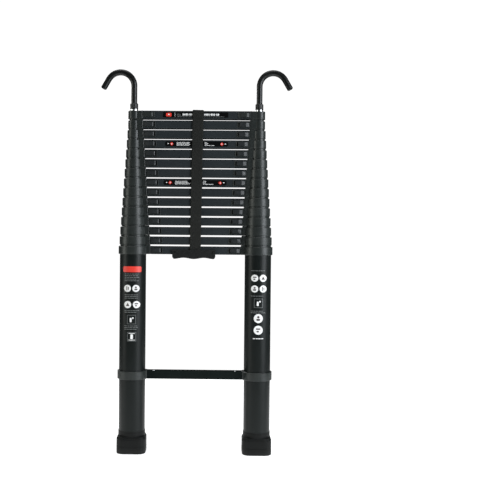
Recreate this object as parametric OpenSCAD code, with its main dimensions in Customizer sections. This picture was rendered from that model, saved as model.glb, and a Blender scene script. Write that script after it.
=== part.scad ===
// Telescoping ladder, closed, with swivelling hooks on top.
// Two nests of fifteen round tubes carry fifteen stacked rungs and one fixed lower rung.
// Millimetres, +Z up. The origin is on the floor midway between the feet; the front faces -Y.

/* [Stiles] */
// Distance between the axes of the two stiles
stile_spacing = 390; // [380:5:420]
// Outside diameter of the base tubes
base_tube_d = 82; // [80:0.5:86]
// Wall of every tube
tube_wall = 1.5; // [1.3:0.05:1.5]
// Radial gap between a tube and the next one inside it
tube_gap = 0.5; // [0.5:0.02:0.6]
// Length of each sliding tube, measured down from the top of its rung
slide_tube_len = 448; // [440:1:460]
// How far each section pulls out of the one below
pull_out = 358; // [340:1:360]

/* [Rungs] */
// Height of a rung
rung_h = 25; // [24:0.5:26]
// Depth of a rung, front to back
rung_depth = 32; // [31:0.5:34]
// Wall of the hollow rung
rung_wall = 2; // [1.6:0.1:2.2]
// Radius along the edges of a rung
rung_edge_r = 2; // [1.5:0.25:4]
// Height of the fixed lower rung's centre
lower_rung_z = 242; // [220:1:260]
// Height of the lowest stacked rung's centre
base_rung_z = 630; // [620:0.5:640]
// Distance between stacked rungs
stack_pitch = 30; // [29:0.5:31]

/* [Collars] */
// How far a collar stands out from its tube
collar_lip = 3.3; // [2.5:0.1:4]
// How far the base collars stand out from the base tubes
base_collar_lip = 4; // [3:0.1:4.5]
// How far the lower rung's collars stand out from the base tubes
lower_collar_lip = 4.75; // [4:0.05:5]
// Height of the lower rung's collars
lower_collar_h = 25.5; // [24:0.5:34]
// Length of the square arm between a tube and its rung
arm_len = 14; // [12:0.5:15]
// How far the flange round the end of a rung stands out from it
flange_lip = 0.9; // [0.5:0.1:1.2]

/* [Thumb locks] */
// Length of a thumb button along the rung
button_len = 30; // [18:1:32]
// Height of a thumb button
button_h = 12; // [10:0.5:12]
// Travel of a thumb button towards the middle of the rung
button_travel = 4; // [4:0.5:5]
// How far a thumb button stands out from the front of the rung
button_rise = 4.6; // [4:0.1:5]
// Diameter of a lock pin
pin_d = 8; // [6:0.5:8]

/* [Feet] */
// Width and depth of a foot
foot_w = 90.5; // [90:0.5:92]
// Radius of the upright corners of a foot
foot_corner_r = 22; // [20:1:40]
// Height of a foot, up to the top of its sloping shoulder
foot_h = 52; // [44:1:60]
// Height of the cuff of a foot round the tube
foot_cuff_h = 16; // [8:1:24]
// Thickness of the sole under the tube
sole_t = 6; // [5:0.5:10]

/* [Hooks] */
// Diameter of the hook bar
hook_d = 19; // [18:0.5:19]
// Radius of the bend, to the middle of the bar
hook_bend_r = 42.4; // [36:0.1:46]
// Angle of the bend
hook_bend = 150; // [140:1:170]
// Length of the straight tip
hook_tip = 32; // [20:1:40]
// Height of the middle of the bend
hook_bend_z = 1140.5; // [1125:0.5:1150]
// Diameter of the clamping nut
hook_nut_d = 25; // [24:0.5:28]
// Height of the clamping nut
hook_nut_h = 19; // [15:0.5:22]
// Height of the bright ring under the nut
hook_ring_h = 5; // [4:0.5:6]

/* [Grip and strap] */
// Width of the grip under the base rung
grip_w = 134; // [110:2:150]
// Place of the grip's middle along the rung
grip_x = -5; // [-15:1:15]
// Depth of the grip below the rung
grip_drop = 14; // [12:0.5:18]
// How far the grip stands out from the front and back of the rung
grip_cheek_t = 5.6; // [5.2:0.1:6.5]
// Width of the strap
strap_w = 34; // [28:1:40]
// Thickness of the strap
strap_t = 1.6; // [1.2:0.1:2]
// Lean of the strap from upright
strap_lean = 0.8; // [0:0.1:1]

/* [Hidden] */
$fn = 96;
stile_x = stile_spacing / 2;
last = 15;
tube_step = tube_wall + tube_gap;
bond_gap = 0.05;
lip_gap = 0.35;
running_gap = 0.08;
clear_gap = 0.3;
edge = 1;
neck_h = stack_pitch - rung_h;
neck_inset = 0.7;
tube_below_top = 2.5;
plug_flange_h = 4;
plug_sleeve_h = 18;
plug_wall = 1.4;
pin_r = pin_d / 2;
pin_hole_r = pin_r + clear_gap;
pin_hole_past_arm = 30;
arm_y_inset = 0.5;
flange_t = 2;
spigot_len = 25;
spigot_z_inset = 2;
frame_t = 2.2;
frame_bevel = 1.4;
frame_margin = 2.2;
button_start = arm_len + 2.6;
button_ramp = 10;
button_edge = 1.4;
slide_t = 3;
slide_margin = 2;
window_len = button_len + button_travel + 2 * clear_gap;
window_h = button_h + 2 * clear_gap;
groove_count = 5;
groove_pitch = 4.6;
groove_w = 1.8;
groove_depth = 0.8;
shoulder_h = 6;
shoulder_scale = 0.93;
sole_bevel = 1.4;
tread_pitch = 14;
tread_w = 5;
tread_depth = 2;
welt_z = [20, 43];
welt_h = 1.4;
welt_depth = 0.8;
cuff_lip = 1;
hook_r = hook_d / 2;
stem_r = hook_r - 0.15;
stem_below_top = 22.5;
hook_flange_h = 4;
top_rung_z = base_rung_z + (last - 1) * stack_pitch;
top_z = top_rung_z + rung_h / 2;
cap_t = 4.5;
rivet_x = 127;
rivet_y = -8;
rivet_r = 3.2;
rivet_h = 1.5;
grip_top = 2;
grip_corner_r = 8;
grip_wave = 1.9;
screw_inset = 8;
strap_gap = 2;
strap_corner_r = 3;
strap_x = 5;
strap_tuck = 10.5;
strap_pocket_x = -1;
ink = [0.05, 0.05, 0.055];
coat = [0.1, 0.1, 0.105];
bright = [0.8, 0.81, 0.82];

function pad(k) = k < 10 ? str("0", k) : str(k);
function section_name(k) = str("section_", pad(k));
function lock_name(side, k) = str(side < 0 ? "left" : "right", "_thumb_lock_", pad(k));
function tube_r(k) = base_tube_d / 2 - (k - 1) * tube_step;
function rung_z(k) = base_rung_z + (k - 1) * stack_pitch;
function tube_bottom(k) = k == 1 ? sole_t + bond_gap : rung_z(k) + rung_h / 2 - slide_tube_len;
function tube_top(k) = rung_z(k) + rung_h / 2 - (k == last ? cap_t + bond_gap : tube_below_top);
function collar_r(k) =
    k == 1 ? tube_r(1) + base_collar_lip :
    k == last ? collar_r(last - 1) :
    tube_r(k) + collar_lip;
function rung_half(k) = stile_x - tube_r(k) - arm_len - bond_gap;

// Points of a rectangle with round corners, centred on the origin
function round_rect(w, d, r) = [
    for (q = [0:3], a = [0:22.5:90])
        [(q == 0 || q == 3 ? 1 : -1) * (w / 2 - r) + r * cos(90 * q + a),
         (q < 2 ? 1 : -1) * (d / 2 - r) + r * sin(90 * q + a)]
];

// Front outline of a thumb button: a ramp at its outer end, then a flat crest and two facets
function thumb_front(front) = [
    [0, -front - button_edge],
    [button_ramp, -front - button_rise],
    [button_len - 3.5, -front - button_rise],
    [button_len - 0.8, 1.1 - front - button_rise],
    [button_len, 2 - front - button_rise]
];

// Places children on one stile, with +X pointing at the other stile
module on_stile(side) {
    mirror([side > 0 ? 1 : 0, 0, 0])
        translate([-stile_x, 0, 0])
            children();
}

module both_stiles() {
    for (side = [-1, 1])
        on_stile(side) children();
}

// A bar along X with the given outline, its width along Z and its depth along Y
module bar(points, start, length) {
    translate([start, 0, 0])
        rotate([0, 90, 0])
            linear_extrude(length)
                polygon(points);
}

module cross_hole(r, z, length) {
    translate([0, 0, z])
        rotate([0, 90, 0])
            cylinder(r = r, h = length);
}

// One tube of the nest: the pin of its own collar passes through it near the top,
// and the pin of the collar below locks into it near the bottom
module tube(k) {
    r = tube_r(k);
    low = tube_bottom(k);
    high = tube_top(k);
    color(coat)
        difference() {
            translate([0, 0, low])
                cylinder(r = r, h = high - low);
            translate([0, 0, low - 1])
                cylinder(r = r - tube_wall, h = high - low + 2);
            if (k < last)
                cross_hole(pin_hole_r, rung_z(k), r + 1);
            if (k > 1)
                cross_hole(pin_hole_r, rung_z(k - 1) - pull_out, r + 1);
        }
}

// The guide plug in the bottom of a sliding tube
module tube_plug(k) {
    r = tube_r(k);
    inner = r - tube_wall - bond_gap;
    bore = inner - plug_wall;
    color(ink)
        translate([0, 0, tube_bottom(k) - bond_gap])
            rotate_extrude()
                polygon([
                    [bore, -plug_flange_h], [r + tube_gap - running_gap, -plug_flange_h],
                    [r + tube_gap - running_gap, 0], [inner, 0],
                    [inner, plug_sleeve_h], [bore, plug_sleeve_h]
                ]);
}

// The round part of a stacked collar: its band, and the neck that the next collar rests on
module collar_ring(k) {
    outer = collar_r(k);
    bond = tube_r(k) + bond_gap;
    step = tube_top(k) - rung_z(k) + bond_gap;
    low = -rung_h / 2;
    high = rung_h / 2;
    band = [[bond, low], [outer - edge, low], [outer, low + edge], [outer, high - edge],
        [outer - edge, high]];
    neck = [[tube_r(k) - neck_inset, high], [tube_r(k) - neck_inset, high + neck_h],
        [tube_r(k + 1) + lip_gap, high + neck_h], [tube_r(k + 1) + lip_gap, step]];
    cap = [[stem_r + running_gap, high], [stem_r + running_gap, step]];
    rotate_extrude()
        polygon(concat(band, k == last ? cap : neck, [[bond, step]]));
}

// The flange round the end of a rung, tapering towards the rung; it has no lip below,
// where the arm of the next collar down ends just under it
module flange(start) {
    d = rung_depth + 2 * flange_lip;
    translate([start, 0, flange_lip / 2])
        rotate([0, 90, 0])
            linear_extrude(flange_t, scale = rung_depth / d)
                polygon(round_rect(rung_h + flange_lip, d, rung_edge_r));
}

// A collar with the arm and the spigot that carry its rung; the arms stack without gaps
module collar(k) {
    bond = tube_r(k) + bond_gap;
    arm_top = k == last ? 0 : neck_h - clear_gap;
    arm = round_rect(rung_h + arm_top, rung_depth - 2 * arm_y_inset, rung_edge_r);
    arm_end = tube_r(k) + arm_len - flange_t;
    spigot_h = rung_h - 2 * rung_wall - 2 * bond_gap;
    spigot_back = rung_depth / 2 - rung_wall - bond_gap;
    spigot_front = pin_r + 1;
    color(ink)
        translate([0, 0, rung_z(k)])
            difference() {
                union() {
                    collar_ring(k);
                    difference() {
                        union() {
                            translate([0, 0, arm_top / 2])
                                bar(arm, 0, arm_end);
                            flange(arm_end);
                        }
                        translate([0, 0, -rung_h])
                            cylinder(r = bond + 1, h = 2 * rung_h);
                    }
                    translate([tube_r(k) + arm_len - 1, spigot_front, spigot_z_inset - spigot_h / 2])
                        cube([
                            spigot_len + 1, spigot_back - spigot_front - spigot_z_inset,
                            spigot_h - 2 * spigot_z_inset
                        ]);
                }
                if (k < last)
                    cross_hole(pin_hole_r, 0, tube_r(k) + arm_len + pin_hole_past_arm);
            }
}

// Rung outline with anti-slip grooves along its top
module rung_section() {
    difference() {
        polygon(round_rect(rung_h, rung_depth, rung_edge_r));
        polygon(round_rect(rung_h - 2 * rung_wall, rung_depth - 2 * rung_wall, rung_edge_r / 2));
        for (i = [0:groove_count - 1])
            translate([-rung_h / 2, (i - (groove_count - 1) / 2) * groove_pitch])
                square([2 * groove_depth, groove_w], center = true);
    }
}

// The window in the front of a rung for a thumb button
module button_window(k) {
    translate([tube_r(k) + button_start - clear_gap, -rung_depth, -window_h / 2])
        cube([window_len, rung_depth, window_h]);
}

module rung(k) {
    half = rung_half(k);
    color(coat)
        translate([0, 0, rung_z(k)])
            difference() {
                translate([-half, 0, 0])
                    rotate([0, 90, 0])
                        linear_extrude(2 * half)
                            rung_section();
                if (k < last)
                    both_stiles() button_window(k);
            }
}

// Plan of the plate round a thumb button, with bevelled ends
module frame_plate(length, height) {
    front = rung_depth / 2 + bond_gap;
    translate([0, 0, -height / 2])
        linear_extrude(height)
            polygon([
                [0, -front], [0, frame_bevel - front - frame_t], [frame_bevel, -front - frame_t],
                [length - frame_bevel, -front - frame_t], [length, frame_bevel - front - frame_t],
                [length, -front]
            ]);
}

// The raised frame around a thumb button
module button_frame(k) {
    color(ink)
        translate([tube_r(k) + button_start - clear_gap - frame_margin, 0, rung_z(k)])
            difference() {
                frame_plate(window_len + 2 * frame_margin, window_h + 2 * frame_margin);
                translate([frame_margin, -rung_depth, -window_h / 2])
                    cube([window_len, rung_depth, window_h]);
            }
}

// The blank cover in the same place on the top rung, shaped like a lock but solid
module button_blank(k) {
    start = tube_r(k) + button_start;
    color(ink)
        union() {
            translate([start - clear_gap - frame_margin, 0, rung_z(k)])
                frame_plate(window_len + 2 * frame_margin, window_h + 2 * frame_margin);
            translate([start, 0, rung_z(k) - button_h / 2])
                linear_extrude(button_h)
                    polygon(concat(
                        [[button_len, -rung_depth / 2 - bond_gap], [0, -rung_depth / 2 - bond_gap]],
                        thumb_front(rung_depth / 2)
                    ));
        }
}

module lock_pin(from, to) {
    translate([from, 0, 0])
        rotate([0, 90, 0])
            cylinder(r = pin_r, h = to - from);
}

// A thumb button, its slide behind the rung's front wall, and the lock pin, in one piece
module thumb_lock(k) {
    start = tube_r(k) + button_start;
    front = rung_depth / 2;
    back_of_wall = front - rung_wall - clear_gap;
    tip = tube_r(k + 1) + lip_gap;
    web_inset = 4;
    color(ink)
        translate([0, 0, rung_z(k)])
            union() {
                translate([start, 0, -button_h / 2])
                    linear_extrude(button_h)
                        polygon(concat(
                            [[button_len, 1 - back_of_wall], [0, 1 - back_of_wall]], thumb_front(front)
                        ));
                translate([start - slide_margin, -back_of_wall, -button_h / 2 - slide_margin])
                    cube([
                        button_len + button_travel + 2 * slide_margin, slide_t,
                        button_h + 2 * slide_margin
                    ]);
                translate([start + web_inset, slide_t - 1 - back_of_wall, -pin_r])
                    cube([button_len - 2 * web_inset, back_of_wall + 1 - slide_t, pin_d]);
                lock_pin(tip, start + button_len - web_inset);
            }
}

// A sliding section: two tubes with their plugs, two collars, the rung and its button frames
module section(k) {
    both_stiles() {
        tube(k);
        tube_plug(k);
        collar(k);
        if (k < last)
            button_frame(k);
        else
            button_blank(k);
    }
    rung(k);
}

module base_collars() {
    both_stiles() {
        collar(1);
        button_frame(1);
    }
}

module lower_rung_collars() {
    outer = tube_r(1) + lower_collar_lip;
    bond = tube_r(1) + bond_gap;
    half_h = lower_collar_h / 2;
    flange_start = outer - edge;
    spigot = rung_h - 2 * rung_wall - 2 * spigot_z_inset - 1;
    color(ink)
        translate([0, 0, lower_rung_z])
            both_stiles()
                difference() {
                    union() {
                        rotate_extrude()
                            polygon([
                                [bond - 2, -half_h], [outer - edge, -half_h], [outer, edge - half_h],
                                [outer, half_h - edge], [outer - edge, half_h], [bond - 2, half_h]
                            ]);
                        bar(round_rect(rung_h + 2 * flange_lip, rung_depth + 2 * flange_lip, rung_edge_r),
                            0, flange_start);
                        flange(flange_start);
                        translate([flange_start, -spigot / 2, -spigot / 2])
                            cube([flange_t + spigot_len, spigot, spigot]);
                    }
                    translate([0, 0, -lower_collar_h])
                        cylinder(r = bond, h = 2 * lower_collar_h);
                }
}

module lower_rung() {
    half = stile_x - tube_r(1) - lower_collar_lip + edge - flange_t - bond_gap;
    color(coat)
        translate([-half, 0, lower_rung_z])
            rotate([0, 90, 0])
                linear_extrude(2 * half)
                    rung_section();
}

// Low round heads on the top of the lower rung
module lower_rung_rivets() {
    color(bright)
        for (side = [-1, 1])
            translate([side * rivet_x, rivet_y, lower_rung_z + rung_h / 2])
                rotate_extrude()
                    polygon([
                        [0, bond_gap], [rivet_r, bond_gap], [rivet_r - 0.4, 0.6 * rivet_h],
                        [rivet_r / 2, rivet_h], [0, rivet_h]
                    ]);
}

// A foot: a square cup with round corners, a sloping shoulder and a cuff, round the end of the base tube
module foot() {
    bond = tube_r(1) + bond_gap;
    shoulder_z = foot_h - shoulder_h;
    sole_scale = 1 - 2 * sole_bevel / foot_w;
    treads = 2 * floor(foot_w / 2 / tread_pitch - 0.5);
    inside_welt = foot_w - 2 * welt_depth;
    color(ink)
        difference() {
            union() {
                mirror([0, 0, 1])
                    translate([0, 0, -sole_bevel])
                        linear_extrude(sole_bevel, scale = sole_scale)
                            polygon(round_rect(foot_w, foot_w, foot_corner_r));
                translate([0, 0, sole_bevel])
                    linear_extrude(shoulder_z - sole_bevel)
                        polygon(round_rect(foot_w, foot_w, foot_corner_r));
                translate([0, 0, shoulder_z])
                    linear_extrude(shoulder_h, scale = shoulder_scale)
                        polygon(round_rect(foot_w, foot_w, foot_corner_r));
                cylinder(r = bond + cuff_lip, h = foot_h + foot_cuff_h);
            }
            translate([0, 0, sole_t])
                cylinder(r = bond, h = foot_h + foot_cuff_h);
            for (z = welt_z)
                translate([0, 0, z])
                    linear_extrude(welt_h)
                        difference() {
                            square(2 * foot_w, center = true);
                            polygon(round_rect(inside_welt, inside_welt, foot_corner_r));
                        }
            for (i = [-treads / 2:treads / 2])
                translate([-foot_w, i * tread_pitch - tread_w / 2, -1])
                    cube([2 * foot_w, tread_w, tread_depth + 1]);
        }
}

// The grip hugs the lower half of the base rung. Its underside is a wave for the fingers,
// and the ends of the strap tuck into a pocket in its front and in its back.
module base_grip() {
    half = grip_w / 2;
    steps = 67;
    depth = rung_depth + 2 * grip_cheek_t;
    low = -rung_h / 2;
    flat_half = half - grip_corner_r;
    pocket_w = strap_w + 2;
    pocket_y = rung_depth / 2 + strap_gap + strap_t + clear_gap;
    underside = [
        for (i = [0:steps])
            let (x = -half + i * grip_w / steps,
                 past = max(0, abs(x) - flat_half),
                 corner = grip_corner_r - sqrt(max(0, pow(grip_corner_r, 2) - pow(past, 2))))
            [x, low - grip_drop + grip_wave - grip_wave * cos(360 * x / (half * 0.94)) + corner]
    ];
    color(ink)
        translate([grip_x, 0, base_rung_z])
            difference() {
                translate([0, depth / 2, 0])
                    rotate([90, 0, 0])
                        linear_extrude(depth)
                            polygon(concat([[half, grip_top], [-half, grip_top]], underside));
                bar(round_rect(rung_h + 2 * bond_gap, rung_depth + 2 * bond_gap, rung_edge_r),
                    -grip_w, 2 * grip_w);
                translate([strap_pocket_x - grip_x - pocket_w / 2, -pocket_y, low + 1])
                    cube([pocket_w, 2 * pocket_y, rung_h]);
            }
}

module grip_screws() {
    head_r = 3;
    head_h = 1.2;
    color(ink)
        for (side = [-1, 1], face = [-1, 1])
            translate([
                    grip_x + side * (grip_w / 2 - screw_inset),
                    face * (rung_depth / 2 + grip_cheek_t + bond_gap), base_rung_z - rung_h / 4
                ])
                rotate([-face * 90, 0, 0])
                    difference() {
                        cylinder(r1 = head_r, r2 = head_r - 0.8, h = head_h);
                        translate([-0.5, -4, head_h / 2])
                            cube([1, 8, 2]);
                    }
}

// A hook: stem, bend and tip from one round bar, with a flange that hangs under the top collar's cap
module hook() {
    stem_bottom = top_z - stem_below_top;
    flange_top = top_z - cap_t - clear_gap;
    flange_r = tube_r(last) - tube_wall - clear_gap;
    join = 1;
    color(ink)
        union() {
            translate([0, 0, stem_bottom])
                cylinder(r = stem_r, h = hook_bend_z - stem_bottom + join);
            translate([0, 0, flange_top - hook_flange_h])
                cylinder(r = flange_r, h = hook_flange_h);
            translate([-hook_bend_r, 0, hook_bend_z])
                rotate([90, 0, 0])
                    rotate_extrude(angle = hook_bend)
                        translate([hook_bend_r, 0])
                            circle(r = hook_r);
            translate([-hook_bend_r, 0, hook_bend_z])
                rotate([0, -hook_bend, 0])
                    translate([hook_bend_r, 0, 0])
                        rotate_extrude()
                            polygon([
                                [0, -join], [stem_r, -join], [stem_r, hook_tip],
                                [hook_r - 3, hook_tip + 3], [0, hook_tip + 3]
                            ]);
        }
}

// The clamping nut: a round sleeve with shallow flutes for the fingers
module hook_nut() {
    r = hook_nut_d / 2;
    color(ink)
        translate([0, 0, top_z + hook_ring_h + 0.05])
            difference() {
                rotate_extrude()
                    polygon([
                        [stem_r + running_gap, 0], [r - edge, 0], [r, edge], [r, hook_nut_h - 2],
                        [r - 2, hook_nut_h], [stem_r + running_gap, hook_nut_h]
                    ]);
                for (a = [0:45:315])
                    rotate(a)
                        translate([r + 1.2, 0, 4])
                            cylinder(r = 2, h = hook_nut_h);
            }
}

module hook_rings() {
    color(bright)
        both_stiles()
            translate([0, 0, top_z + 0.03])
                difference() {
                    cylinder(r = hook_nut_d / 2 - 0.75, h = hook_ring_h);
                    translate([0, 0, -1])
                        cylinder(r = hook_r + clear_gap, h = hook_ring_h + 2);
                }
}

// The strap: over the top rung and down the front and back of the stack into the grip's pockets
module strap() {
    inner = rung_depth / 2 + strap_gap;
    outer = inner + strap_t;
    drop = top_z - base_rung_z + strap_tuck;
    over = 1;
    color("darkslategray")
        translate([strap_x, 0, top_z])
            rotate([0, strap_lean, 0])
                translate([-strap_w / 2, 0, 0])
                    rotate([90, 0, 90])
                        linear_extrude(strap_w)
                            polygon([
                                [-outer, -drop], [-outer, over + strap_t - strap_corner_r],
                                [strap_corner_r - outer, over + strap_t],
                                [outer - strap_corner_r, over + strap_t],
                                [outer, over + strap_t - strap_corner_r], [outer, -drop],
                                [inner, -drop], [inner, over - strap_corner_r + 0.6],
                                [inner - strap_corner_r + 0.6, over], [strap_corner_r - 0.6 - inner, over],
                                [-inner, over - strap_corner_r + 0.6], [-inner, -drop]
                            ]);
}

on_stile(-1) tube(1);  // left_base_tube
on_stile(1) tube(1);  // right_base_tube
on_stile(-1) foot();  // left_foot
on_stile(1) foot();  // right_foot
lower_rung();
lower_rung_collars();
lower_rung_rivets();
rung(1);  // base_rung
base_collars();
base_grip();
grip_screws();
for (k = [2:last])
    section(k);
for (side = [-1, 1], k = [1:last - 1])
    on_stile(side) thumb_lock(k);
on_stile(-1) hook();  // left_hook
on_stile(1) hook();  // right_hook
on_stile(-1) hook_nut();  // left_hook_nut
on_stile(1) hook_nut();  // right_hook_nut
hook_rings();
strap();
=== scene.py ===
"""A closed telescoping ladder on a pale floor: materials, strap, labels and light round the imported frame."""

import math
import random

import bmesh
import bpy
from mathutils import Matrix, Vector

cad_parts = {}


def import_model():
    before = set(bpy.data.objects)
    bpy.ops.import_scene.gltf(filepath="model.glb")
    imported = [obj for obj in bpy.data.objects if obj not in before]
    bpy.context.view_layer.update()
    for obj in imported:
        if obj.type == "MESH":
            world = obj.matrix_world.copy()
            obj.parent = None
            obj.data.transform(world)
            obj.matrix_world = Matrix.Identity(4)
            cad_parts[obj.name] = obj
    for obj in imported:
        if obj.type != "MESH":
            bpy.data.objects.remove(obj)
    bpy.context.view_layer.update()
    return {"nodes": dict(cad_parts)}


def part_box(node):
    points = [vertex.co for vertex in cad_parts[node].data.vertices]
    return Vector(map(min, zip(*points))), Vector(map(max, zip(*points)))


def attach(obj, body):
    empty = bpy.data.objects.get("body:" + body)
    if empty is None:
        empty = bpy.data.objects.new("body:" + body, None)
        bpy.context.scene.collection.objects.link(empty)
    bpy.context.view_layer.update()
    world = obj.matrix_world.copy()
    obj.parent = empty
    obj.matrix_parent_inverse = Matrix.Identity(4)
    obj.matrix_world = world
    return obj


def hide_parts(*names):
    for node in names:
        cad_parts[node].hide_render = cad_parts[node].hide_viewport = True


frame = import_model()
nodes = frame["nodes"]
random.seed(7)

MM = 0.001

# ---------------------------------------------------------------- sizes, from the frame where it holds them
base_low, base_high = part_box("left_base_tube")
STILE_X = -(base_low.x + base_high.x) / 2
BASE_R = (base_high.x - base_low.x) / 2
rung_low, rung_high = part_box("base_rung")
BASE_RUNG_Z = (rung_low.z + rung_high.z) / 2
RUNG_H = rung_high.z - rung_low.z
RUNG_FRONT = -rung_low.y
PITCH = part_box("section_03")[1].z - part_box("section_02")[1].z
TUBE_STEP = 2 * MM
LAST = 15
ARM_END = STILE_X - rung_high.x - BASE_R
strap_low, strap_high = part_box("strap")
TOP_Z = BASE_RUNG_Z + (LAST - 1) * PITCH + RUNG_H / 2


def tube_r(k):
    return BASE_R - (k - 1) * TUBE_STEP


def rung_z(k):
    return BASE_RUNG_Z + (k - 1) * PITCH


def section_body(k):
    return "base" if k == 1 else f"section_{k:02d}"


# ---------------------------------------------------------------- shader helpers
class Graph:
    """A new material's node tree, with short names for the nodes that the finishes share."""

    def __init__(self, name):
        self.material = bpy.data.materials.new(name)
        self.material.use_nodes = True
        self.tree = self.material.node_tree
        self.shader = self.tree.nodes["Principled BSDF"]
        self.place = self.add("ShaderNodeTexCoord").outputs["Object"]

    def add(self, kind, **settings):
        node = self.tree.nodes.new(kind)
        for key, value in settings.items():
            setattr(node, key, value)
        return node

    def link(self, output, target):
        self.tree.links.new(output, target)

    def set(self, **values):
        for key, value in values.items():
            self.shader.inputs[key.replace("_", " ")].default_value = value

    def stretched(self, scale):
        node = self.add("ShaderNodeMapping")
        node.inputs["Scale"].default_value = scale
        self.link(self.place, node.inputs["Vector"])
        return node.outputs["Vector"]

    def noise(self, scale, detail=4.0, roughness=0.55, vector=None):
        node = self.add("ShaderNodeTexNoise")
        node.inputs["Scale"].default_value = scale
        node.inputs["Detail"].default_value = detail
        node.inputs["Roughness"].default_value = roughness
        self.link(vector or self.place, node.inputs["Vector"])
        return node.outputs["Fac"]

    def cells(self, scale):
        node = self.add("ShaderNodeTexVoronoi", feature="F1")
        node.inputs["Scale"].default_value = scale
        self.link(self.place, node.inputs["Vector"])
        return node.outputs["Distance"]

    def waves(self, scale, axis, distortion):
        node = self.add("ShaderNodeTexWave", bands_direction=axis, wave_profile="SIN")
        node.inputs["Scale"].default_value = scale
        node.inputs["Distortion"].default_value = distortion
        self.link(self.place, node.inputs["Vector"])
        return node.outputs["Fac"]

    def spread(self, value, low, high, start=0.3, end=0.7):
        node = self.add("ShaderNodeMapRange")
        node.inputs["From Min"].default_value = start
        node.inputs["From Max"].default_value = end
        node.inputs["To Min"].default_value = low
        node.inputs["To Max"].default_value = high
        self.link(value, node.inputs["Value"])
        return node.outputs["Result"]

    def math(self, operation, a, b):
        node = self.add("ShaderNodeMath", operation=operation)
        for socket, value in zip(node.inputs, (a, b)):
            if isinstance(value, (int, float)):
                socket.default_value = value
            else:
                self.link(value, socket)
        return node.outputs["Value"]

    def mixed(self, factor, a, b):
        node = self.add("ShaderNodeMix", data_type="RGBA")
        self.link(factor, node.inputs["Factor"])
        for socket, value in ((node.inputs["A"], a), (node.inputs["B"], b)):
            if isinstance(value, tuple):
                socket.default_value = (*value, 1)
            else:
                self.link(value, socket)
        return node.outputs["Result"]

    def colour(self, factor, a, b):
        self.link(self.mixed(factor, a, b), self.shader.inputs["Base Color"])

    def roughness(self, value):
        self.link(value, self.shader.inputs["Roughness"])

    def bump(self, *layers):
        """Layers of (height, strength, distance in mm), the coarsest first."""
        normal = None
        for height, strength, distance in layers:
            node = self.add("ShaderNodeBump")
            node.inputs["Strength"].default_value = strength
            node.inputs["Distance"].default_value = distance * MM
            self.link(height, node.inputs["Height"])
            if normal:
                self.link(normal, node.inputs["Normal"])
            normal = node.outputs["Normal"]
        self.link(normal, self.shader.inputs["Normal"])


# ---------------------------------------------------------------- finishes
def tube_coat():
    """Satin black coat on drawn tube: faint lines along the tube, orange peel and a few pale rubs."""
    g = Graph("tube_coat")
    lines = g.noise(60, 3, 0.5, g.stretched((14, 14, 0.25)))
    peel = g.noise(900, 2, 0.5)
    cloud = g.noise(6, 5, 0.6)
    rubs = g.noise(25, 6, 0.75, g.stretched((3, 3, 0.5)))
    body = g.mixed(g.spread(cloud, 0, 1), (0.0040, 0.0060, 0.0056), (0.0066, 0.0090, 0.0086))
    g.colour(g.spread(rubs, 0, 0.5, 0.68, 0.85), body, (0.035, 0.038, 0.038))
    g.roughness(g.math("ADD", g.spread(lines, 0.30, 0.42), g.spread(cloud, -0.03, 0.05)))
    g.bump((lines, 0.12, 0.10), (peel, 0.18, 0.05))
    g.set(Specular_IOR_Level=0.2)
    return g.material


def rung_coat(name, dark, light, rough=0.36, shine=0.22):
    """The same coat on the extruded rungs, with lines along the rung."""
    g = Graph(name)
    lines = g.noise(70, 3, 0.5, g.stretched((0.25, 14, 14)))
    peel = g.noise(900, 2, 0.5)
    cloud = g.noise(9, 5, 0.6)
    dust = g.noise(160, 6, 0.8)
    body = g.mixed(g.spread(cloud, 0, 1), dark, light)
    g.colour(g.spread(dust, 0, 0.4, 0.66, 0.8), body, tuple(3.8 * c for c in light))
    g.roughness(g.math("ADD", g.spread(lines, rough, rough + 0.12), g.spread(dust, -0.02, 0.06)))
    g.bump((lines, 0.15, 0.12), (peel, 0.18, 0.05))
    g.set(Specular_IOR_Level=shine)
    return g.material


def moulded(name, dark, light, rough, grain=1400, pale=0.35):
    """Black moulded plastic: fine spark-eroded grain, soft flow marks and paler scuffed spots."""
    g = Graph(name)
    grain_cells = g.cells(grain)
    flow = g.noise(18, 4, 0.6)
    scuffs = g.noise(120, 6, 0.8)
    body = g.mixed(g.spread(flow, 0, 1), dark, light)
    g.colour(g.spread(scuffs, 0, pale, 0.66, 0.82), body, tuple(min(1, 3.2 * c) for c in light))
    g.roughness(g.math("ADD", g.spread(flow, rough - 0.05, rough + 0.06), g.spread(scuffs, -0.02, 0.06)))
    g.bump((flow, 0.10, 0.20), (grain_cells, 0.30, 0.10))
    g.set(Specular_IOR_Level=0.36)
    return g.material


def foot_rubber():
    """Matt rubber: coarse grain, paler towards the bottom."""
    g = Graph("foot_rubber")
    grain = g.noise(700, 4, 0.7)
    cloud = g.noise(20, 5, 0.65)
    height = g.add("ShaderNodeSeparateXYZ")
    g.link(g.place, height.inputs["Vector"])
    # Paler in patches over the lowest 2 cm of the foot.
    low = g.spread(height.outputs["Z"], 0.5, 0, 0.0, 0.02)
    body = g.mixed(g.spread(cloud, 0, 1), (0.0034, 0.0040, 0.0038), (0.0060, 0.0067, 0.0064))
    g.colour(g.math("MULTIPLY", low, g.spread(cloud, 0.1, 0.9)), body, (0.030, 0.030, 0.029))
    g.roughness(g.spread(cloud, 0.50, 0.64))
    g.bump((cloud, 0.08, 0.4), (grain, 0.35, 0.12))
    g.set(Specular_IOR_Level=0.16)
    return g.material


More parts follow.
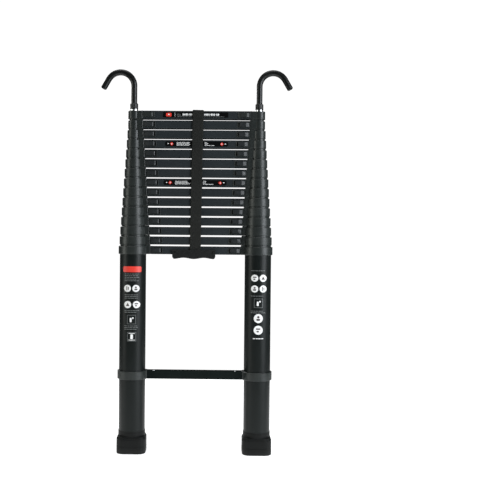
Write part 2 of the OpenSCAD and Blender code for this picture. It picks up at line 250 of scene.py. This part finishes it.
def hook_coat():
    """Smooth dipped black coat on bent steel bar, glossier than the tubes."""
    g = Graph("hook_coat")
    runs = g.noise(40, 3, 0.5, g.stretched((1, 1, 0.4)))
    peel = g.noise(500, 3, 0.5)
    wear = g.noise(90, 6, 0.8)
    body = g.mixed(g.spread(runs, 0, 1), (0.0040, 0.0046, 0.0044), (0.0070, 0.0078, 0.0075))
    g.colour(g.spread(wear, 0, 0.5, 0.70, 0.85), body, (0.08, 0.08, 0.078))
    g.roughness(g.math("ADD", g.spread(runs, 0.24, 0.34), g.spread(wear, -0.02, 0.08)))
    g.bump((runs, 0.10, 0.3), (peel, 0.20, 0.06))
    g.set(Specular_IOR_Level=0.35)
    return g.material


def bright_zinc(name, spangle):
    """Bright plated steel with turning lines and a slight spangle."""
    g = Graph(name)
    turned = g.noise(300, 2, 0.5, g.stretched((0.3, 0.3, 9)))
    cells = g.cells(spangle)
    g.colour(g.spread(cells, 0, 1, 0.1, 0.8), (0.72, 0.73, 0.74), (0.86, 0.87, 0.88))
    g.roughness(g.spread(turned, 0.16, 0.32))
    g.bump((turned, 0.2, 0.05))
    g.set(Metallic=1.0)
    return g.material


def webbing():
    """Dark olive-black webbing: warp ribs along the strap, weft across it, fuzz between."""
    g = Graph("webbing")
    weft = g.waves(210, "Z", distortion=0.6)
    warp = g.waves(330, "X", distortion=0.5)
    weave = g.math("MULTIPLY", weft, warp)
    fuzz = g.noise(1500, 5, 0.75)
    cloud = g.noise(14, 4, 0.6)
    body = g.mixed(g.spread(weave, 0, 1, 0.05, 0.7), (0.0050, 0.0053, 0.0046), (0.0180, 0.0190, 0.0163))
    g.colour(g.spread(fuzz, 0, 0.45, 0.5, 0.75), body, (0.034, 0.035, 0.031))
    g.roughness(g.math("ADD", g.spread(cloud, 0.70, 0.82), g.spread(fuzz, -0.04, 0.06)))
    g.bump((weave, 0.55, 0.35), (fuzz, 0.35, 0.12))
    g.set(Sheen_Weight=0.06, Sheen_Roughness=0.5, Specular_IOR_Level=0.2)
    return g.material


def printed(name, colour, rough=0.42, wear=0.35, shine=0.5):
    """Screen-printed ink or film: slightly uneven, with pinholes and soft wear."""
    g = Graph(name)
    patches = g.noise(45, 5, 0.7)
    specks = g.noise(900, 3, 0.7)
    worn = tuple(c * 0.72 for c in colour)
    body = g.mixed(g.spread(patches, 0, wear, 0.35, 0.75), colour, worn)
    g.colour(g.spread(specks, 0, 0.35, 0.62, 0.75), body, tuple(c * 0.45 + 0.01 for c in colour))
    g.roughness(g.math("ADD", g.spread(patches, rough - 0.05, rough + 0.05), g.spread(specks, 0, 0.05)))
    g.bump((specks, 0.15, 0.03))
    g.set(Specular_IOR_Level=shine)
    return g.material


def pale_floor():
    """Pale matt sweep that glows a little, so that it stays even without a hard light from above."""
    g = Graph("pale_floor")
    cloud = g.noise(1.5, 3, 0.5)
    grain = g.noise(120, 4, 0.6)
    g.colour(g.spread(cloud, 0, 1), (0.86, 0.86, 0.86), (0.90, 0.90, 0.90))
    g.roughness(g.spread(grain, 0.75, 0.85))
    g.set(Specular_IOR_Level=0.0, Emission_Color=(1, 1, 1, 1), Emission_Strength=0.62)
    return g.material


TUBE = tube_coat()
RUNG = rung_coat("rung_coat", (0.0158, 0.0200, 0.0222), (0.0216, 0.0264, 0.0292))
LOWER_RUNG = rung_coat("lower_rung_coat", (0.0062, 0.0084, 0.0084), (0.0096, 0.0126, 0.0122), 0.58, 0.01)
PLASTIC = moulded("moulded_black", (0.0150, 0.0185, 0.0175), (0.0230, 0.0270, 0.0255), 0.33)
BUTTON = moulded("button_plastic", (0.0170, 0.0195, 0.0210), (0.0240, 0.0270, 0.0285), 0.33)
GRIP = moulded("grip_plastic", (0.0032, 0.0038, 0.0036), (0.0056, 0.0062, 0.0060), 0.50)
NUT = moulded("nut_plastic", (0.0060, 0.0066, 0.0066), (0.0100, 0.0108, 0.0108), 0.38)
RUBBER = foot_rubber()
HOOK = hook_coat()
ZINC = bright_zinc("bright_zinc", 260)
WEBBING = webbing()
THREAD = moulded("strap_thread", (0.035, 0.036, 0.032), (0.055, 0.057, 0.05), 0.75, 2500)
FILM = printed("label_film", (0.0018, 0.0020, 0.0022), 0.45, 0.2, 0.1)
WHITE_INK = printed("white_ink", (0.86, 0.86, 0.85))
GREY_INK = printed("grey_ink", (0.17, 0.18, 0.18), 0.5, 0.6)
RED_INK = printed("red_ink", (0.80, 0.045, 0.028))
DARK_INK = printed("dark_ink", (0.05, 0.035, 0.035))


# ---------------------------------------------------------------- CAD nodes
def dress(name, *materials, choose=None):
    """Gives a CAD node its materials; choose(centre) picks one of them for each face."""
    mesh = nodes[name].data
    mesh.materials.clear()
    for material in materials:
        mesh.materials.append(material)
    if choose:
        for face in mesh.polygons:
            face.material_index = choose(face.center)


def section_chooser(k):
    """0 for the tubes, 1 for the rung, 2 for the collars, plugs and button frames."""
    tube_top = rung_z(k) - RUNG_H / 2 - 0.1 * MM
    rung_end = STILE_X - tube_r(k) - ARM_END + 0.02 * MM

    def choose(centre):
        across = abs(centre.x)
        if centre.z < tube_top:
            out = math.hypot(across - STILE_X, centre.y)
            return 0 if out <= tube_r(k) + 0.1 * MM else 2
        if across < rung_end and centre.y > -RUNG_FRONT - 0.02 * MM:
            return 1
        return 2

    return choose


for side in ("left", "right"):
    dress(f"{side}_base_tube", TUBE)
    dress(f"{side}_foot", RUBBER)
    dress(f"{side}_hook", HOOK)
    dress(f"{side}_hook_nut", NUT)
    for k in range(1, LAST):
        dress(f"{side}_thumb_lock_{k:02d}", BUTTON)
for k in range(2, LAST + 1):
    dress(f"section_{k:02d}", TUBE, RUNG, PLASTIC, choose=section_chooser(k))
dress("base_rung", RUNG)
dress("lower_rung", LOWER_RUNG)
dress("base_collars", PLASTIC)
dress("lower_rung_collars", PLASTIC)
dress("base_grip", GRIP)
dress("grip_screws", HOOK)
dress("lower_rung_rivets", ZINC)
dress("hook_rings", ZINC)


def soften(name, width):
    """Rounds the sharp moulded edges of a CAD node a little, without touching its mesh."""
    obj = nodes[name]
    weld = obj.modifiers.new("weld", "WELD")
    weld.merge_threshold = 0.001 * MM
    bevel = obj.modifiers.new("bevel", "BEVEL")
    bevel.width = width
    bevel.segments = 2
    bevel.limit_method = "ANGLE"
    bevel.angle_limit = math.radians(35)
    bevel.use_clamp_overlap = True
    bevel.harden_normals = True


soften("base_grip", 1.2 * MM)
for side in ("left", "right"):
    for k in range(1, LAST):
        soften(f"{side}_thumb_lock_{k:02d}", 0.4 * MM)


# ---------------------------------------------------------------- mesh helpers
def new_piece(name, bm, materials, smooth=True):
    mesh = bpy.data.meshes.new(name)
    bm.to_mesh(mesh)
    bm.free()
    for material in materials:
        mesh.materials.append(material)
    for face in mesh.polygons:
        face.use_smooth = smooth
    obj = bpy.data.objects.new(name, mesh)
    bpy.context.scene.collection.objects.link(obj)
    return obj


def round_rect(w, h, r, steps=5):
    """Corner-rounded rectangle outline, anticlockwise from its right side."""
    points = []
    for quarter, (sx, sy) in enumerate(((1, 1), (-1, 1), (-1, -1), (1, -1))):
        for i in range(steps + 1):
            a = math.radians(90 * quarter + 90 * i / steps)
            points.append((sx * (w / 2 - r) + r * math.cos(a), sy * (h / 2 - r) + r * math.sin(a)))
    return points


def disc(r, steps=28):
    turns = [2 * math.pi * i / steps for i in range(steps)]
    return [(r * math.cos(a), r * math.sin(a)) for a in turns]


STRIP = 2 * MM
INK_T = 0.07 * MM


def span_at(outline, u):
    """The lowest and highest v of a convex outline at one u."""
    hits = []
    for (ua, va), (ub, vb) in zip(outline, outline[1:] + outline[:1]):
        if min(ua, ub) - 1e-9 <= u <= max(ua, ub) + 1e-9:
            if abs(ub - ua) < 1e-9:
                hits += [va, vb]
            else:
                hits.append(va + (vb - va) * (u - ua) / (ub - ua))
    return min(hits), max(hits)


class Print:
    """Thin marks laid on a face. lay(u, v, lift) turns a place on the label into a point in the frame."""

    def __init__(self, lay):
        self.bm = bmesh.new()
        self.lay = lay

    def patch(self, outline, centre, material, level=1):
        """A thin raised patch with a convex outline: strips that follow a curved face, and a skirt."""
        u0, v0 = centre
        lift = level * INK_T
        low_u, high_u = min(u for u, v in outline), max(u for u, v in outline)
        count = max(2, int((high_u - low_u) / STRIP) + 1)
        cuts = {low_u + (high_u - low_u) * i / count for i in range(count + 1)}
        cuts |= {u for u, v in outline}
        columns = []
        for u in sorted(cuts):
            if columns and u - columns[-1][0] < 0.01 * MM:
                continue
            low_v, high_v = span_at(outline, u)
            columns.append((u, low_v, high_v))
        rows = []
        for u, low_v, high_v in columns:
            places = ((low_v, 0), (low_v, lift), (high_v, lift), (high_v, 0))
            rows.append([self.bm.verts.new(self.lay(u0 + u, v0 + v, up)) for v, up in places])
        for a, b in zip(rows, rows[1:]):
            for i in range(3):
                self.face((a[i], b[i], b[i + 1], a[i + 1]), material)
        self.face(rows[0], material)
        self.face(rows[-1][::-1], material)

    def face(self, verts, material):
        self.bm.faces.new(verts).material_index = material

    def bar(self, centre, w, h, material, level=1, r=None):
        self.patch(round_rect(w, h, min(w, h) * 0.3 if r is None else r), centre, material, level)

    def lines(self, centre, w, rows, pitch, material, h=1.6 * MM, level=1):
        """Rows of short dashes of uneven length that stand for small print without any letters."""
        for row in range(rows):
            v = centre[1] + (rows - 1 - 2 * row) * pitch / 2
            u = centre[0] - w / 2
            end = centre[0] + w / 2 - random.uniform(0, 0.22) * w
            while u < end - 2 * MM:
                dash = min(random.uniform(4, 11) * MM, end - u)
                self.bar((u + dash / 2, v), dash, h, material, level, h * 0.3)
                u += dash + 1.3 * MM

    def blocks(self, start, w, h, material, level=1):
        """Narrow upright blocks in groups, which stand for bold print without any letters."""
        u = start[0]
        while u < start[0] + w - 4 * MM:
            for _ in range(random.randint(2, 4)):
                wide = random.uniform(3.2, 4.4) * MM
                self.bar((u + wide / 2, start[1]), wide, h, material, level, 0.9 * MM)
                u += wide + 0.9 * MM
            u += 2.2 * MM

    def frame(self, centre, w, h, line, material, level=1):
        u, v = centre
        r = line * 0.3
        for sign in (-1, 1):
            self.bar((u, v + sign * (h - line) / 2), w, line, material, level, r)
            self.bar((u + sign * (w - line) / 2, v), line, h - 2 * line, material, level, r)


# ---------------------------------------------------------------- labels on the tubes
INKS = [WHITE_INK, GREY_INK, RED_INK, DARK_INK, FILM]
WHITE, GREY, RED, DARK, BLACK = range(5)


def on_tube(side, across, up):
    """Places on a base tube's front: u is the distance across, v the height above the base rung's middle."""

    def lay(u, v, lift):
        turn = math.asin(max(-0.98, min(0.98, (u + across) / BASE_R)))
        r = BASE_R + lift
        return Vector((side * STILE_X + r * math.sin(turn), -r * math.cos(turn), BASE_RUNG_Z + up + v))

    return lay


def badge(marks, u, v, r, kind):
    """A white disc with a plain dark mark on it."""
    marks.patch(disc(r), (u, v), WHITE)
    if kind == 0:
        marks.bar((u - 2 * MM, v), 2.4 * MM, r * 1.1, DARK, 2)
        marks.bar((u + 2.6 * MM, v), 2.4 * MM, r * 0.8, DARK, 2)
    elif kind == 1:
        marks.patch(disc(r * 0.26, 14), (u, v + r * 0.3), DARK, 2)
        marks.bar((u, v - r * 0.28), r * 0.8, r * 0.42, DARK, 2)
    elif kind == 2:
        marks.patch([(-r * 0.5, -r * 0.4), (r * 0.5, -r * 0.4), (0, r * 0.5)], (u, v), DARK, 2)
    else:
        marks.bar((u, v + r * 0.26), r * 0.95, r * 0.3, DARK, 2)
        marks.bar((u - r * 0.1, v - r * 0.3), r * 0.5, r * 0.34, DARK, 2)


def picture_box(marks, u, v, size, kind):
    """A thin square outline with a plain white shape in it."""
    marks.frame((u, v), size, size * 1.04, 1.1 * MM, GREY)
    if kind == 0:
        marks.bar((u - size * 0.08, v - size * 0.06), size * 0.22, size * 0.5, WHITE)
        marks.patch(disc(size * 0.1, 14), (u + size * 0.16, v + size * 0.18), WHITE)
    else:
        marks.bar((u, v), size * 0.3, size * 0.56, WHITE)
        marks.bar((u, v + size * 0.38), size * 0.7, size * 0.07, WHITE)
        marks.bar((u, v - size * 0.38), size * 0.7, size * 0.07, WHITE)


def left_tube_marks():
    marks = Print(on_tube(-1, 1 * MM, -1 * MM))
    marks.bar((0, -58 * MM), 56 * MM, 18 * MM, RED, 2, 4 * MM)
    marks.lines((0, -83 * MM), 46 * MM, 5, 5.2 * MM, GREY)
    badge(marks, -14 * MM, -117 * MM, 11 * MM, 0)
    badge(marks, 12 * MM, -117 * MM, 11 * MM, 1)
    marks.lines((0, -142 * MM), 46 * MM, 3, 5.2 * MM, GREY)
    badge(marks, -13 * MM, -167 * MM, 11 * MM, 2)
    badge(marks, 14 * MM, -167 * MM, 11 * MM, 3)
    marks.lines((0, -188 * MM), 46 * MM, 2, 5.2 * MM, GREY)
    picture_box(marks, -1 * MM, -213 * MM, 27 * MM, 0)
    marks.lines((0, -238 * MM), 46 * MM, 3, 5.2 * MM, GREY)
    picture_box(marks, 0, -266 * MM, 27 * MM, 1)
    return new_piece("left_tube_marks", marks.bm, INKS, smooth=False)


def right_tube_marks():
    marks = Print(on_tube(1, -4.5 * MM, 2 * MM))
    marks.lines((5 * MM, -62 * MM), 46 * MM, 1, 5 * MM, GREY)
    badge(marks, -7 * MM, -85 * MM, 11 * MM, 3)
    badge(marks, 19 * MM, -85 * MM, 11 * MM, 2)
    badge(marks, -7 * MM, -118 * MM, 11 * MM, 1)
    badge(marks, 19 * MM, -118 * MM, 11 * MM, 0)
    marks.lines((5 * MM, -140 * MM), 46 * MM, 1, 5 * MM, GREY)
    picture_box(marks, 5 * MM, -162 * MM, 27 * MM, 0)
    marks.lines((5 * MM, -189 * MM), 46 * MM, 2, 5.2 * MM, GREY)
    badge(marks, 5 * MM, -209 * MM, 14 * MM, 1)
    badge(marks, 5 * MM, -245 * MM, 14 * MM, 3)
    marks.lines((5 * MM, -271 * MM), 32 * MM, 1, 5 * MM, WHITE, 2.6 * MM)
    return new_piece("right_tube_marks", marks.bm, INKS, smooth=False)


for marks in (left_tube_marks(), right_tube_marks()):
    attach(marks, "base")


# ---------------------------------------------------------------- labels on the rungs
def on_rung(k, across=0):
    def lay(u, v, lift):
        return Vector((u + across, -RUNG_FRONT - 0.02 * MM - lift, rung_z(k) + v))

    return lay


def top_rung_label():
    marks = Print(on_rung(LAST))
    marks.bar((-3 * MM, 0), 202 * MM, 16.4 * MM, BLACK, 1, 1 * MM)
    marks.bar((-86 * MM, 0), 17 * MM, 11 * MM, RED, 2, 3 * MM)
    marks.bar((-86 * MM, 1 * MM), 5 * MM, 3.6 * MM, WHITE, 3)
    marks.bar((-67 * MM, 0), 0.9 * MM, 12 * MM, WHITE, 2, 0.3 * MM)
    marks.lines((-54 * MM, 0), 14 * MM, 2, 3.4 * MM, GREY, 1.2 * MM, 2)
    for start, end, small_start, small_end in ((-43, -8, -60, -12), (23, 76, 22, 92)):
        marks.blocks((start * MM, 1 * MM), (end - start) * MM, 6 * MM, WHITE, 2)
        middle = (small_start + small_end) / 2 * MM
        marks.lines((middle, -5.6 * MM), (small_end - small_start) * MM, 1, 1, GREY, 1.1 * MM, 2)
    return new_piece("top_rung_label", marks.bm, INKS, smooth=False)


def rung_sticker(k, across):
    marks = Print(on_rung(k, across))
    marks.bar((1 * MM, 0), 196 * MM, 16 * MM, BLACK, 1, 6 * MM)
    diamond = [(-5.6 * MM, 0), (0, -5.6 * MM), (5.6 * MM, 0), (0, 5.6 * MM)]
    for u, dot in ((-76 * MM, -87 * MM), (79 * MM, 90 * MM)):
        marks.patch(diamond, (u, 0), RED, 2)
        marks.patch(disc(1.8 * MM, 14), (u, 0), WHITE, 3)
        marks.bar((dot, 0.5 * MM), 4.4 * MM, 2.6 * MM, WHITE, 2)
    marks.lines((-37 * MM, 0), 48 * MM, 4, 2.9 * MM, WHITE, 1.3 * MM, 2)
    marks.lines((31 * MM, 2 * MM), 11 * MM, 3, 2.9 * MM, WHITE, 1.3 * MM, 2)
    marks.lines((45 * MM, -4.6 * MM), 40 * MM, 1, 1, WHITE, 1.3 * MM, 2)
    return new_piece(f"rung_{k:02d}_sticker", marks.bm, INKS, smooth=False)


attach(top_rung_label(), section_body(LAST))
for k, across in ((12, 0), (8, -4 * MM)):
    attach(rung_sticker(k, across), section_body(k))


# ---------------------------------------------------------------- strap
STRAP_W = 34 * MM
STRAP_T = 1.6 * MM
STRAP_LEAN = math.radians(0.8)
STRAP_X = 5 * MM
TAIL_FROM = 0.2
TAIL_SHARE = 0.2
STRAP_SIDE = (strap_high.y - strap_low.y) / 2 - STRAP_T / 2
STRAP_TOP = strap_high.z - STRAP_T / 2
STRAP_END = strap_low.z + 0.5 * MM


def run_y(t):
    """How far the webbing stands from the ladder's middle plane; t is 0 at its end, 1 at the top."""
    ease = math.sin(math.pi * t)
    return STRAP_SIDE + 1.1 * MM * ease ** 2 + 0.35 * MM * math.sin(17 * t) * ease


def strap_route():
    """Middle line of the webbing in the strap's own upright plane, as (y, z) points, front to back."""
    corner = 2.6 * MM
    rise = STRAP_TOP - corner - STRAP_END
    steps = int(rise / (2 * MM))
    front = [(-run_y(i / steps), STRAP_END + rise * i / steps) for i in range(steps + 1)]
    over = []
    for i in range(1, 7):
        a = math.radians(180 - 90 * i / 7)
        over.append((-STRAP_SIDE + corner + corner * math.cos(a), STRAP_TOP - corner + corner * math.sin(a)))
    flat = [(-STRAP_SIDE + corner + 2 * (STRAP_SIDE - corner) * i / 14, STRAP_TOP) for i in range(15)]
    down = [(-y, z) for y, z in over[::-1]]
    back = [(-y * 0.998, z) for y, z in front[::-1]]
    return front + over + flat + down + back


def tail_route():
    """The end of the webbing, folded over and sewn flat on the strap's back run."""
    rise = STRAP_TOP - STRAP_END
    steps = 44
    places = [TAIL_FROM + TAIL_SHARE * i / steps for i in range(steps + 1)]
    return [(run_y(t) + 1.05 * STRAP_T, STRAP_END + rise * t) for t in places]


def strap_place(x, y, z):
    """From the strap's own upright plane to the frame, leaning as the CAD strap leans."""
    turn = Matrix.Rotation(STRAP_LEAN, 4, "Y")
    pivot = Vector((STRAP_X, 0, TOP_Z))
    return pivot + turn @ Vector((x, y, z - TOP_Z))


def lay_webbing(bm, route):
    """Flat webbing along a route: thin rounded selvedges, raised warp ribs, slightly uneven edges."""
    across = 28
    rings = []
    for i, (y, z) in enumerate(route):
        before = Vector(route[max(0, i - 1)])
        after = Vector(route[min(len(route) - 1, i + 1)])
        along = (after - before).normalized()
        normal = Vector((-along.y, along.x))
        outside, inside = [], []
        for j in range(across + 1):
            s = 2 * j / across - 1
            x = s * (STRAP_W / 2 + 0.25 * MM * math.sin(i * 0.21) + 0.12 * MM * math.sin(i * 0.83))
            edge = math.sqrt(max(0.0, 1 - (max(0.0, abs(s) - 0.9) / 0.1) ** 2))
            rib = 0.09 * MM * (math.cos(j * math.pi) + 0.6 * math.cos(i * math.pi))
            half = STRAP_T / 2 * (0.35 + 0.65 * edge) + rib * edge
            outside.append(bm.verts.new(strap_place(x, y + normal.x * half, z + normal.y * half)))
            half = STRAP_T / 2 * (0.35 + 0.65 * edge)
            inside.append(bm.verts.new(strap_place(x, y - normal.x * half, z - normal.y * half)))
        rings.append(outside + inside[::-1])
    count = len(rings[0])
    for a, b in zip(rings, rings[1:]):
        for j in range(count):
            k = (j + 1) % count
            bm.faces.new((a[j], a[k], b[k], b[j]))
    for ring in (rings[0], rings[-1]):
        for j in range(count // 2 - 1):
            bm.faces.new((ring[j], ring[j + 1], ring[count - 2 - j], ring[count - 1 - j]))


def strap_band():
    bm = bmesh.new()
    lay_webbing(bm, strap_route())
    lay_webbing(bm, tail_route())
    bmesh.ops.recalc_face_normals(bm, faces=bm.faces)
    return new_piece("strap_webbing", bm, [WEBBING])


def stitch(bm, start, end, out, r=0.42 * MM):
    """One thread stitch: a short bowed tube lying on the webbing."""
    along = end - start
    side = along.normalized().cross(out).normalized()
    rings = []
    for i in range(6):
        t = i / 5
        middle = start + along * t + out * (0.5 * MM * math.sin(math.pi * t) - 0.15 * MM)
        size = r * (0.5 + 0.5 * math.sin(math.pi * t))
        turns = [2 * math.pi * q / 6 for q in range(6)]
        ring = [middle + (side * math.cos(a) + out * math.sin(a)) * size for a in turns]
        rings.append([bm.verts.new(place) for place in ring])
    for a, b in zip(rings, rings[1:]):
        for q in range(6):
            bm.faces.new((a[q], a[(q + 1) % 6], b[(q + 1) % 6], b[q]))
    for ring in (rings[0], rings[-1]):
        bm.faces.new(ring)


def strap_stitching():
    """Two boxes of stitches with a cross in each, through the folded tail and the strap behind it."""
    bm = bmesh.new()
    out = Vector((0, 1, 0))
    tail = tail_route()
    for share in (0.06, 0.62):
        y, z = tail[int(share * (len(tail) - 1))]
        face_y = y + STRAP_T / 2 + 0.1 * MM
        w, h = 26 * MM, 26 * MM
        corners = [(-w / 2, 0), (w / 2, 0), (w / 2, h), (-w / 2, h)]
        runs = [(corners[i], corners[(i + 1) % 4]) for i in range(4)]
        runs += [(corners[0], corners[2]), (corners[1], corners[3])]
        for (x0, z0), (x1, z1) in runs:
            count = max(4, int(math.hypot(x1 - x0, z1 - z0) / (3.2 * MM)))
            for i in range(count):
                a, b = (i + 0.1) / count, (i + 0.82) / count
                start = strap_place(x0 + (x1 - x0) * a, face_y, z + z0 + (z1 - z0) * a)
                end = strap_place(x0 + (x1 - x0) * b, face_y, z + z0 + (z1 - z0) * b)
                stitch(bm, start, end, out)
    bmesh.ops.recalc_face_normals(bm, faces=bm.faces)
    return new_piece("strap_stitching", bm, [THREAD])


strap = strap_band()
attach(strap, section_body(LAST))
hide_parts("strap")
strap_length = sum(
    math.dist(a, b) for route in (strap_route(), tail_route()) for a, b in zip(route, route[1:])
)
stitching = strap_stitching()
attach(stitching, section_body(LAST))


# ---------------------------------------------------------------- floor, light and camera
def floor():
    bm = bmesh.new()
    bmesh.ops.create_circle(bm, cap_ends=True, segments=96, radius=1.3)
    piece = new_piece("floor", bm, [pale_floor()], smooth=False)
    piece.location.z = -0.3 * MM


def softbox(name, place, aim, size, power, colour=(1, 1, 1)):
    light = bpy.data.lights.new(name, "AREA")
    light.shape = "RECTANGLE"
    light.size, light.size_y = size
    light.energy = power
    light.color = colour
    obj = bpy.data.objects.new(name, light)
    obj.location = place
    obj.rotation_euler = (Vector(aim) - Vector(place)).to_track_quat("-Z", "Y").to_euler()
    bpy.context.scene.collection.objects.link(obj)


def overhead():
    """Soft even light straight down."""
    sun = bpy.data.lights.new("overhead", "SUN")
    sun.energy = 1.4
    sun.angle = math.radians(50)
    obj = bpy.data.objects.new("overhead", sun)
    obj.location = (0, 0, 5)
    bpy.context.scene.collection.objects.link(obj)


def world():
    """Soft grey light all round, seen as white."""
    made = bpy.data.worlds.new("studio")
    made.use_nodes = True
    tree = made.node_tree
    tree.nodes.clear()
    out = tree.nodes.new("ShaderNodeOutputWorld")
    mix = tree.nodes.new("ShaderNodeMixShader")
    path = tree.nodes.new("ShaderNodeLightPath")
    soft = tree.nodes.new("ShaderNodeBackground")
    soft.inputs["Color"].default_value = (0.95, 0.98, 1.0, 1)
    soft.inputs["Strength"].default_value = 0.07
    white = tree.nodes.new("ShaderNodeBackground")
    white.inputs["Color"].default_value = (1, 1, 1, 1)
    white.inputs["Strength"].default_value = 1.05
    tree.links.new(path.outputs["Is Camera Ray"], mix.inputs["Fac"])
    tree.links.new(soft.outputs["Background"], mix.inputs[1])
    tree.links.new(white.outputs["Background"], mix.inputs[2])
    tree.links.new(mix.outputs["Shader"], out.inputs["Surface"])
    bpy.context.scene.world = made


def camera():
    """A little above the ladder's middle and almost square to it; the shift sets the ladder left."""
    distance, height = 2.601, 0.69
    turned, tilted, rolled = 0.8, 0.8, 0.494
    data = bpy.data.cameras.new("camera")
    data.lens = 60
    data.sensor_width = 36
    data.shift_x = 0.1089
    data.shift_y = -0.0144
    obj = bpy.data.objects.new("camera", data)
    stand = Matrix.Translation((0, -distance, height))
    around = Matrix.Rotation(math.radians(turned), 4, "Z")
    down = Matrix.Rotation(math.radians(90 - tilted), 4, "X")
    roll = Matrix.Rotation(math.radians(rolled), 4, "Z")
    obj.matrix_world = around @ stand @ down @ roll
    bpy.context.scene.collection.objects.link(obj)
    bpy.context.scene.camera = obj


floor()
overhead()
world()
camera()
softbox("key", (2.4, -1.7, 1.2), (0, 0, 0.65), (1.7, 2.2), 98, (0.90, 0.95, 1.0))
softbox("fill", (-2.9, -1.0, 1.1), (0, 0, 0.6), (1.4, 2.2), 34, (0.97, 1.0, 0.93))
softbox("back", (-1.2, 2.6, 2.1), (0, 0, 0.7), (1.6, 1.4), 34)
bpy.context.scene.view_settings.view_transform = "Standard"
